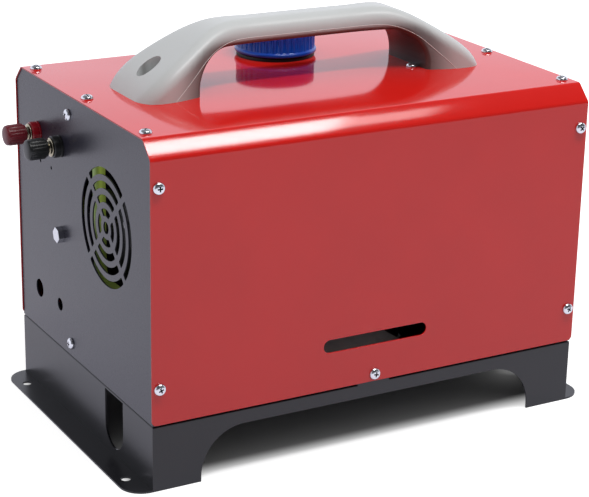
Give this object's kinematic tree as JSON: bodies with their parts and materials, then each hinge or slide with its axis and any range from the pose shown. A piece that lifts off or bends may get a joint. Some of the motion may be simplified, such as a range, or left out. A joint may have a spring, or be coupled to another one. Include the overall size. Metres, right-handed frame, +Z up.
{
  "type": "diesel air heater",
  "caption": "Portable diesel air heater in a red sheet-steel case with a carrying handle, filler cap, warm-air fan and outlet, power terminals and a small controller.",
  "frame": {"origin": "on the floor, in the middle of the four bolt holes in the foot flanges", "axes": "+X along the case towards the warm-air outlet, -Y out of the front, +Z up"},
  "size_m": [0.457, 0.2774, 0.3371],
  "materials": {
    "case_paint": "gloss",
    "base_paint": "satin",
    "panel_paint": "satin",
    "zinc_steel": "satin",
    "brace_steel": "satin",
    "handle_plastic": "satin",
    "tank_plastic": "matte",
    "black_rubber": "matte",
    "cap_plastic": "satin",
    "liner_plastic": "matte",
    "seal_rubber": "matte",
    "filter_plastic": "gloss",
    "pump_steel": "satin",
    "spring_steel": "satin",
    "hose_rubber": "matte",
    "pipe_plastic": "satin",
    "casing_plastic": "matte",
    "ring_plastic": "gloss",
    "fan_plastic": "matte",
    "shaft_steel": "satin",
    "cast_alloy": "matte",
    "burner_steel": "satin",
    "sensor_plastic": "matte",
    "spigot_plastic": "satin",
    "positive_plastic": "gloss",
    "negative_plastic": "gloss",
    "terminal_brass": "polished",
    "positive_sheath": "satin",
    "negative_sheath": "satin",
    "controller_plastic": "satin",
    "window_plastic": "gloss",
    "button_rubber": "matte"
  },
  "bodies": {
    "heater": {"outer_cover": "case_paint", "base_tray": "base_paint", "left_end_panel": "panel_paint", "right_end_panel": "panel_paint", "cover_screws": "zinc_steel", "end_panel_screws": "zinc_steel", "handle_screws": "zinc_steel", "pump_bolt": "zinc_steel", "heater_nuts": "zinc_steel", "handle_brace": "brace_steel", "tank_straps": "brace_steel", "heater_bracket": "brace_steel", "handle_top_shell": "handle_plastic", "handle_bottom_shell": "handle_plastic", "fuel_tank": "tank_plastic", "fuel_pickup": "tank_plastic", "filler_grommet": "black_rubber", "pump_clip": "black_rubber", "fuel_filter": "filter_plastic", "pump_body": "pump_steel", "suction_hose": "hose_rubber", "pump_inlet_hose": "hose_rubber", "delivery_pipe": "pipe_plastic", "heater_casing_upper": "casing_plastic", "heater_casing_lower": "casing_plastic", "intake_ring": "ring_plastic", "blower_motor": "shaft_steel", "blower_housing": "cast_alloy", "heat_exchanger": "cast_alloy", "burner_tube": "burner_steel", "glow_plug": "burner_steel", "exhaust_pipe": "burner_steel", "air_intake_pipe": "burner_steel", "overheat_sensor": "sensor_plastic", "control_board": "sensor_plastic", "outlet_spigot": "spigot_plastic", "positive_collar": "positive_plastic", "negative_collar": "negative_plastic", "terminal_studs": "terminal_brass", "terminal_nuts": "terminal_brass", "positive_lead": "positive_sheath", "negative_lead": "negative_sheath", "controller_case": "controller_plastic", "controller_window": "window_plastic"},
    "cap_lift": {"cap_seal": "seal_rubber"},
    "cap_thread": {"cap_liner": "liner_plastic"},
    "cap": {"fuel_cap": "cap_plastic"},
    "positive_travel": {"positive_washer": "terminal_brass"},
    "positive_knob": {"positive_knob": "positive_plastic"},
    "negative_travel": {"negative_washer": "terminal_brass"},
    "negative_knob": {"negative_knob": "negative_plastic"},
    "rotor": {"fan_impeller": "fan_plastic", "motor_shaft": "shaft_steel", "combustion_impeller": "fan_plastic"},
    "pump_piston": {"pump_plunger": "pump_steel", "pump_spring": "spring_steel"},
    "power_button": {"power_button": "button_rubber"},
    "settings_button": {"settings_button": "button_rubber"},
    "up_button": {"up_button": "button_rubber"},
    "down_button": {"down_button": "button_rubber"}
  },
  "joints": [
    {"name": "cap_lift_off", "type": "slide", "parent": "heater", "child": "cap_lift", "axis": [0, 0, 1], "range_m": [0, 0.06]},
    {"name": "cap_rise", "type": "slide", "parent": "cap_lift", "child": "cap_thread", "axis": [0, 0, 1], "range_m": [0, 0.01]},
    {"name": "cap_turn", "type": "hinge", "parent": "cap_thread", "child": "cap", "pos_m": [0.018, 0.0745, 0.302], "axis": [0, 0, 1], "range_deg": [0, 720]},
    {"name": "positive_knob_travel", "type": "slide", "parent": "heater", "child": "positive_travel", "axis": [-1, 0, 0], "range_m": [0, 0.005]},
    {"name": "positive_knob_turn", "type": "hinge", "parent": "positive_travel", "child": "positive_knob", "pos_m": [-0.22, 0.0885, 0.2345], "axis": [-1, 0, 0], "range_deg": [0, 1440]},
    {"name": "negative_knob_travel", "type": "slide", "parent": "heater", "child": "negative_travel", "axis": [-1, 0, 0], "range_m": [0, 0.005]},
    {"name": "negative_knob_turn", "type": "hinge", "parent": "negative_travel", "child": "negative_knob", "pos_m": [-0.22, 0.041, 0.2345], "axis": [-1, 0, 0], "range_deg": [0, 1440]},
    {"name": "fan_spin", "type": "hinge", "parent": "heater", "child": "rotor", "pos_m": [-0.16, -0.0505, 0.192], "axis": [1, 0, 0], "continuous": true},
    {"name": "pump_stroke", "type": "slide", "parent": "heater", "child": "pump_piston", "axis": [0, 0, 1], "range_m": [0, 0.002], "stiffness_N_per_m": 400, "springref_m": -0.003, "deforming": ["pump_spring"]},
    {"name": "power_button_press", "type": "slide", "parent": "heater", "child": "power_button", "axis": [-1, 0, 0], "range_m": [0, 0.001], "stiffness_N_per_m": 500, "springref_m": -0.001},
    {"name": "settings_button_press", "type": "slide", "parent": "heater", "child": "settings_button", "axis": [-1, 0, 0], "range_m": [0, 0.001], "stiffness_N_per_m": 500, "springref_m": -0.001},
    {"name": "up_button_press", "type": "slide", "parent": "heater", "child": "up_button", "axis": [-1, 0, 0], "range_m": [0, 0.001], "stiffness_N_per_m": 500, "springref_m": -0.001},
    {"name": "down_button_press", "type": "slide", "parent": "heater", "child": "down_button", "axis": [-1, 0, 0], "range_m": [0, 0.001], "stiffness_N_per_m": 500, "springref_m": -0.001}
  ],
  "couplings": [
    {"joint": "cap_rise", "follows": "cap_turn", "m_per_rad": 0.00079577},
    {"joint": "positive_knob_travel", "follows": "positive_knob_turn", "m_per_rad": 0.00019894},
    {"joint": "negative_knob_travel", "follows": "negative_knob_turn", "m_per_rad": 0.00019894}
  ]
}
